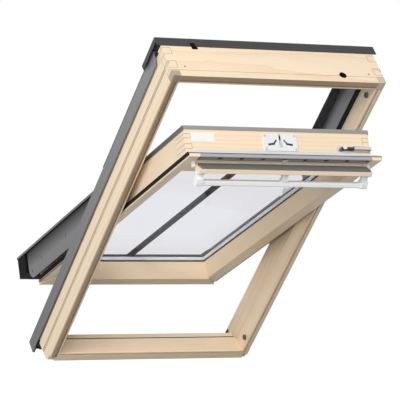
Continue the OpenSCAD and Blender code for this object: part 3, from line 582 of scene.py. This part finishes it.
# Nodes whose finish isn't the plain one of their slot
FINISH_OF_NODE = {
    "frame_head": PINE_ACROSS_FRAME,
    "frame_sill": PINE_ACROSS_FRAME,
    # Painted shade on the jambs' pine: in the twin grooves and at the notched lowest finger; the left
    # jamb also on its room face, the right one along its rebate step
    "frame_jamb_left": pine(
        "pine of the left jamb with painted shade", (FRAME_LEAN, 0, -QUARTER), (0.1, 0.09, 0.12),
        painted_shades=(
            (PINE_PAINTED_SHADE, 0.75, groove_floor_edges(LEFT)), (PINE_PAINTED_SHADE, 0.25, groove_edges(LEFT)),
            (PINE_PAINTED_SHADE, 0.78, JAMB_ROOM_FACE), (NOTCH_PAINTED_SHADE, 0.85, FINGER_END),
        ),
    ),
    "frame_jamb_right": pine(
        "pine of the right jamb with painted shade", (FRAME_LEAN, 0, -QUARTER), (0.5, -0.31, 0.10),
        painted_shades=(
            (PINE_PAINTED_SHADE, 0.75, groove_floor_edges(RIGHT)), (PINE_PAINTED_SHADE, 0.25, groove_edges(RIGHT)),
            (PINE_PAINTED_SHADE, 0.3, REBATE_LINE), (PINE_PAINTED_SHADE, 0.08, REBATE), (NOTCH_PAINTED_SHADE, 0.5, FINGER_END),
        ),
    ),
    "sash_top_rail": PINE_ACROSS_SASH,
    "sash_bottom_rail": PINE_ACROSS_SASH,
    "sash_stile_left": PINE_UP_SASH,
    "sash_stile_right": PINE_UP_SASH,
    "vent_flap": pine("pine of the flap", (FLAP_LEAN, 0, 0), (0.9, 0.16, 0.02), strength=0.3),
    "side_plate_left": SIDE_PLATE,
    "side_plate_right": SIDE_PLATE,
    "upper_cover_left": INSIDE_COVER,
    "upper_cover_right": INSIDE_COVER,
    "head_cover": coated("head cover paint", HEAD_COVER_DARK, 0.45, wear=0.4, gloss=0.15),
    "lock_plate": LOCK_PLATE,
    "sash_seal": coated(
        "seal behind the lip", RUBBER_BLACK, 0.6, grain=2200.0, mottle=0.3, gloss=0.06,
        zone=(STRIP_PALE, SASH_PLACE, *SASH_SEAL_EDGE),
    ),
    "lower_seal_left": LOWER_SEAL,
    "lower_seal_right": LOWER_SEAL,
    "pane_spacer": coated(
        "spacer and its sealant", SPACER_GREY, 0.5, grain=1500.0,
        zone=(RUBBER_BLACK, SASH_PLACE, *SPACER_EDGE),
    ),
    "sash_strip_top": coated(
        "strip along the sash top", STRIP_GREY, 0.42, wear=0.3,
        zone=(RUBBER_BLACK, SASH_PLACE, *TOP_STRIP_EDGE),
    ),
    "vent_grille": coated(
        "grille and its gauze", PLASTIC_BLACK, 0.5, grain=1800.0,
        zone=(GRILLE_GREY, SASH_PLACE, *GRILLE_EDGE),
    ),
    "slide_bolt": coated(
        "bolt rod and bright knob", STEEL_DARK, 0.35, grain=320.0, metal=0.3,
        zone=(LOCK_ZINC, SASH_PLACE, *KNOB_EDGE),
    ),
    "flap_bearings": FINISHES["white_plastic"],
    "vent_rail": coated("pale vent rail", RAIL_PALE, 0.4, grain=700.0, mottle=0.1),
    "glazing_bar": coated("glazing bar paint", BAR_DARK, 0.5, wear=0.3, gloss=0.1),
    "face_trim": coated("pale strip on the sash face", STRIP_PALE, 0.35, grain=700.0, mottle=0.06),
}


def dress_solids():
    """Gives each solid of the frame its finish, by its name or by the record's material slot."""
    for entry in frame["record"]["subparts"]:
        solid = frame["nodes"][entry["node"]]
        finish = FINISH_OF_NODE.get(entry["node"]) or FINISHES[entry["material_slot"]]
        solid.data.materials.clear()
        solid.data.materials.append(finish)


def onto(place):
    """The matrix from width, slope and depth in the closed window to the open one."""
    turn, shift = place
    lean = Matrix.Rotation(turn[0], 4, "X")
    return (Matrix.Translation(shift) @ lean).inverted()


def add_bar(mesh, widths, slopes, depths):
    """A straight bar between two corners in an open mesh."""
    size = [pair[1] - pair[0] for pair in (widths, slopes, depths)]
    middle = [(pair[1] + pair[0]) / 2 for pair in (widths, slopes, depths)]
    matrix = Matrix.Translation(middle) @ Matrix.Diagonal((*size, 1))
    bmesh.ops.create_cube(mesh, size=1.0, matrix=matrix)


def add_lathe(mesh, profile, centre, sides=32):
    """A ring turned about the slope axis; profile is radius and slope, closed on itself."""
    rings = []
    for radius, slope in profile:
        ring = []
        for step in range(sides):
            angle = math.tau * step / sides
            width = centre[0] + radius * math.cos(angle)
            depth = centre[1] + radius * math.sin(angle)
            ring.append(mesh.verts.new((width, slope, depth)))
        rings.append(ring)
    for index, ring in enumerate(rings):
        after = rings[(index + 1) % len(rings)]
        for step in range(sides):
            turn = (step + 1) % sides
            mesh.faces.new((ring[step], ring[turn], after[turn], after[step]))


def add_prism(mesh, outline, depths):
    """An outline of width and slope drawn out over a range of depth."""
    low = [(width, slope, depths[0]) for width, slope in outline]
    high = [(width, slope, depths[1]) for width, slope in outline]
    add_loft(mesh, low, high)


def add_profile(mesh, outline, widths):
    """An outline of slope and depth drawn out across a range of width."""
    low = [(widths[0], slope, depth) for slope, depth in outline]
    high = [(widths[1], slope, depth) for slope, depth in outline]
    add_loft(mesh, low, high)


def add_loft(mesh, first, last):
    """A closed solid between two like outlines."""
    low = [mesh.verts.new(corner) for corner in first]
    high = [mesh.verts.new(corner) for corner in last]
    mesh.faces.new(low[::-1])
    mesh.faces.new(high)
    for index in range(len(low)):
        after = (index + 1) % len(low)
        mesh.faces.new((low[index], low[after], high[after], high[index]))


def finish_piece(name, mesh, place, body, material, round_off):
    """Closes a mesh as a piece with rounded edges that rides on a body."""
    if round_off:
        sharp = [edge for edge in mesh.edges if edge.calc_face_angle(0) > SHARP_ANGLE]
        bmesh.ops.bevel(mesh, geom=sharp, offset=round_off, segments=2, affect="EDGES")
    bmesh.ops.recalc_face_normals(mesh, faces=mesh.faces)
    data = bpy.data.meshes.new(name)
    mesh.transform(onto(place))
    mesh.to_mesh(data)
    mesh.free()
    data.materials.append(material)
    piece = bpy.data.objects.new(name, data)
    bpy.context.scene.collection.objects.link(piece)
    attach(piece, body)


def hand_name(stem, side):
    """The name of a piece that is on the left or on the right."""
    return stem + ("right" if side > 0 else "left")


def span(side, first, last):
    """A range of width on one side, from low to high."""
    return sorted((side * first, side * last))


def add_finger_lines(mesh, side, root, end, slopes, depths):
    """Glue lines along the fingers of a corner; gives the face's slopes and the cheek's widths."""
    face = (slopes[0] - PROUD, slopes[0] + SUNK)
    cheek = span(side, end + PROUD, end - SUNK)
    for depth in depths:
        line = (depth - LINE / 2, depth + LINE / 2)
        add_bar(mesh, span(side, root, end), face, line)
        add_bar(mesh, cheek, slopes, line)
    return face, cheek


def frame_joint_lines(side):
    """Glue lines of the finger joint at one end of the head, on its face and on the jamb."""
    mesh = bmesh.new()
    depths = FRAME_FINGER_LINES
    face, cheek = add_finger_lines(mesh, side, REVEAL, HALF_WIDTH, (HEAD_FACE, HEAD_UNDER), depths)
    root = span(side, REVEAL - LINE / 2, REVEAL + LINE / 2)
    under = (HEAD_UNDER - LINE / 2, HEAD_UNDER + LINE / 2)
    for low, high in zip(depths[1::2], depths[2::2]):
        add_bar(mesh, root, face, (low, high))
    for low, high in zip(depths[0::2], depths[1::2]):
        add_bar(mesh, cheek, under, (low, high))
    name = hand_name("head_joint_lines_", side)
    finish_piece(name, mesh, FRAME_PLACE, "frame", GLUE, PROUD / 2)


def sash_joint_lines(side):
    """Glue lines of the finger joint at one end of the sash's top rail."""
    mesh = bmesh.new()
    depths = SASH_FINGER_LINES
    slopes = (SASH_FACE, SASH_FINGER_END)
    face, _ = add_finger_lines(mesh, side, SASH_POCKET, SASH_BODY, slopes, depths)
    root = span(side, SASH_POCKET - LINE / 2, SASH_POCKET + LINE / 2)
    for low, high in zip(depths[0::2], depths[1::2]):
        add_bar(mesh, root, face, (low, high))
    name = hand_name("sash_joint_lines_", side)
    finish_piece(name, mesh, SASH_PLACE, "sash", GLUE, PROUD / 2)


def cable_sleeve():
    """Flanged sleeve in the cable hole of the head."""
    mesh = bmesh.new()
    fit = 0.0001
    wall = 0.0012
    lip = 0.0012
    soft = 0.0003
    bevel = 0.0004
    outer = CABLE_HOLE_RADIUS - fit
    inner = outer - wall
    flange = CABLE_HOLE_RADIUS + lip
    front = HEAD_FACE - 0.0007
    seat = HEAD_FACE - fit
    back = HEAD_FACE + 0.018
    profile = [
        (inner, front + soft), (inner + soft, front), (flange - bevel, front), (flange, front + soft),
        (flange, seat), (outer, seat), (outer, back), (inner, back),
    ]
    add_lathe(mesh, profile, CABLE_HOLE)
    finish_piece(
        "cable_sleeve", mesh, FRAME_PLACE, "frame", FINISHES["black_plastic"], 0
    )


def head_clip():
    """Spring clip in the notch at the top of the head, with a tab over the front of the cover."""
    mesh = bmesh.new()
    (left, right), (low, high) = CLIP_NOTCH
    gap = 0.0004
    leg = 0.0035
    front = HEAD_FACE - 0.0006
    web = HEAD_FACE + 0.001
    back = HEAD_FACE + 0.0028
    tab_left = left - 0.002
    tab_right = right - 0.005
    tab_low = high - 0.004
    tab_back = HEAD_COVER_FACE - 0.0002
    tab_front = HEAD_COVER_FACE - 0.0010
    add_bar(mesh, (left + gap, right - gap), (web, back), (low + gap, high - gap))
    for edge in (left + gap, right - gap - leg):
        add_bar(mesh, (edge, edge + leg), (front, back), (low + gap, high - gap))
    tab = [
        (left + gap, tab_back), (left + gap, front), (tab_right, front),
        (tab_right, tab_front), (tab_left, tab_front), (tab_left, tab_back),
    ]
    add_prism(mesh, tab, (tab_low, CLIP_TOP))
    finish_piece(
        "head_clip", mesh, FRAME_PLACE, "frame", FINISHES["black_plastic"], FINE_ROUND
    )


def jamb_foot(side):
    """Moulded end of a jamb: a block on its lower end with a toe along the cladding."""
    mesh = bmesh.new()
    (start, heel, toe), (low, step, high) = FOOT_SLOPES, FOOT_DEPTHS
    chamfer = 0.002
    chamfer_rise = 0.003
    toe_rise = 0.001
    outline = [
        (start, low), (heel - chamfer, low), (heel, low + chamfer_rise), (heel, step),
        (toe, step + toe_rise), (toe, high), (start, high),
    ]
    add_profile(mesh, outline, span(side, *FOOT_WIDTHS))
    finish_piece(
        hand_name("jamb_foot_", side),
        mesh, FRAME_PLACE, "frame", FINISHES["black_plastic"], BROAD_ROUND,
    )


def nail_heads():
    """Nails sunk in the head near its ends."""
    mesh = bmesh.new()
    core = 0.0003
    crown = 0.0010
    shoulder = 0.0018
    rim = 0.0021
    shank = 0.0014
    top = HEAD_FACE - 0.0005
    under = top + 0.0005
    tip = top + 0.005
    profile = [
        (core, top + 0.0002), (crown, top), (shoulder, top + 0.0001), (rim, top + 0.0004),
        (shank, under), (shank, tip), (core, tip),
    ]
    for centre in NAIL_HOLES:
        add_lathe(mesh, profile, centre, 20)
    finish_piece("nail_heads", mesh, FRAME_PLACE, "frame", DARK_STEEL, 0)


def lock_case():
    """Steel case behind the lock plate, with a channel for the latch tongue."""
    mesh = bmesh.new()
    half = LOCK_CASE_HALF
    channel = 0.0026
    front = SASH_FACE + 0.0003
    bed = SASH_FACE + 0.0046
    back = SASH_FACE + 0.0078
    outline = [
        (-half, front), (-channel, front), (-channel, bed), (channel, bed), (channel, front),
        (half, front), (half, back), (-half, back),
    ]
    add_prism(mesh, [(LOCK_MIDDLE + width, slope) for width, slope in outline], LOCK_CASE_DEPTH)
    finish_piece("lock_case", mesh, SASH_PLACE, "sash", DARK_STEEL, FINE_ROUND)


def seen_directly(tree):
    """Mask of what the camera sees straight, in a gloss or through glass."""
    path = add(tree, "ShaderNodeLightPath").outputs
    seen = math_node(tree, "MAXIMUM", path["Is Camera Ray"], path["Is Glossy Ray"])
    return math_node(tree, "MAXIMUM", seen, path["Is Transmission Ray"])


def make_floor():
    """A wide white floor that keeps the shadow of the window."""
    low = cad_box[0][2] - FLOOR_GAP
    mesh = bpy.data.meshes.new("floor")
    reach = FLOOR_REACH
    corners = [(-reach, -reach, low), (reach, -reach, low), (reach, reach, low), (-reach, reach, low)]
    mesh.from_pydata(corners, [], [(0, 1, 2, 3)])
    floor = bpy.data.objects.new("floor", mesh)
    bpy.context.scene.collection.objects.link(floor)
    material, tree, shader = new_material("floor white")
    shader.inputs["Base Color"].default_value = (FLOOR_GREY, FLOOR_GREY, FLOOR_GREY, 1)
    shader.inputs["Roughness"].default_value = 0.9
    shader.inputs["Specular IOR Level"].default_value = 0.0
    shader.inputs["Emission Color"].default_value = PURE_WHITE
    lift = math_node(tree, "MULTIPLY", seen_directly(tree), FLOOR_LIFT)
    tree.links.new(lift, shader.inputs["Emission Strength"])
    mesh.materials.append(material)


def make_world():
    """Soft white light from all round, and plain white where the sky is seen."""
    world = bpy.data.worlds.new("studio")
    bpy.context.scene.world = world
    world.use_nodes = True
    tree = world.node_tree
    soft = tree.nodes["Background"]
    soft.inputs["Color"].default_value = SKY_TINT
    soft.inputs["Strength"].default_value = SOFT_LIGHT
    plain = add(tree, "ShaderNodeBackground", {"Color": PURE_WHITE, "Strength": 1.0})
    inputs = {0: seen_directly(tree), 1: soft.outputs[0], 2: plain.outputs[0]}
    both = add(tree, "ShaderNodeMixShader", inputs)
    tree.links.new(both.outputs[0], tree.nodes["World Output"].inputs["Surface"])


def make_lamp(name, place, aim, size, power):
    """A square soft lamp turned towards a point."""
    light = bpy.data.lights.new(name, "AREA")
    light.size = size
    light.energy = power
    lamp = bpy.data.objects.new(name, light)
    lamp.location = place
    lamp.rotation_euler = (Vector(aim) - Vector(place)).to_track_quat("-Z", "Y").to_euler()
    lamp.visible_glossy = False
    bpy.context.scene.collection.objects.link(lamp)


def make_camera():
    """The photograph's camera: a long lens that looks a little upward."""
    lens = bpy.data.cameras.new("photo camera")
    lens.sensor_fit = "HORIZONTAL"
    lens.sensor_width = SENSOR_MM
    lens.lens = CAMERA_LENS_MM
    lens.clip_end = CAMERA_REACH
    camera = bpy.data.objects.new("photo camera", lens)
    camera.location = CAMERA_PLACE
    camera.rotation_euler = (QUARTER + CAMERA_RISE, 0, -CAMERA_AZIMUTH)
    bpy.context.scene.collection.objects.link(camera)
    bpy.context.scene.camera = camera


dress_solids()
for hand in (-1, 1):
    frame_joint_lines(hand)
    sash_joint_lines(hand)
    jamb_foot(hand)
cable_sleeve()
head_clip()
nail_heads()
lock_case()
make_floor()
make_world()
make_lamp("key lamp", LAMP_PLACE, LAMP_AIM, LAMP_SIZE, LAMP_POWER)
make_lamp("fill lamp", FILL_PLACE, LAMP_AIM, FILL_SIZE, FILL_POWER)
make_camera()
bpy.context.scene.view_settings.view_transform = "Standard"
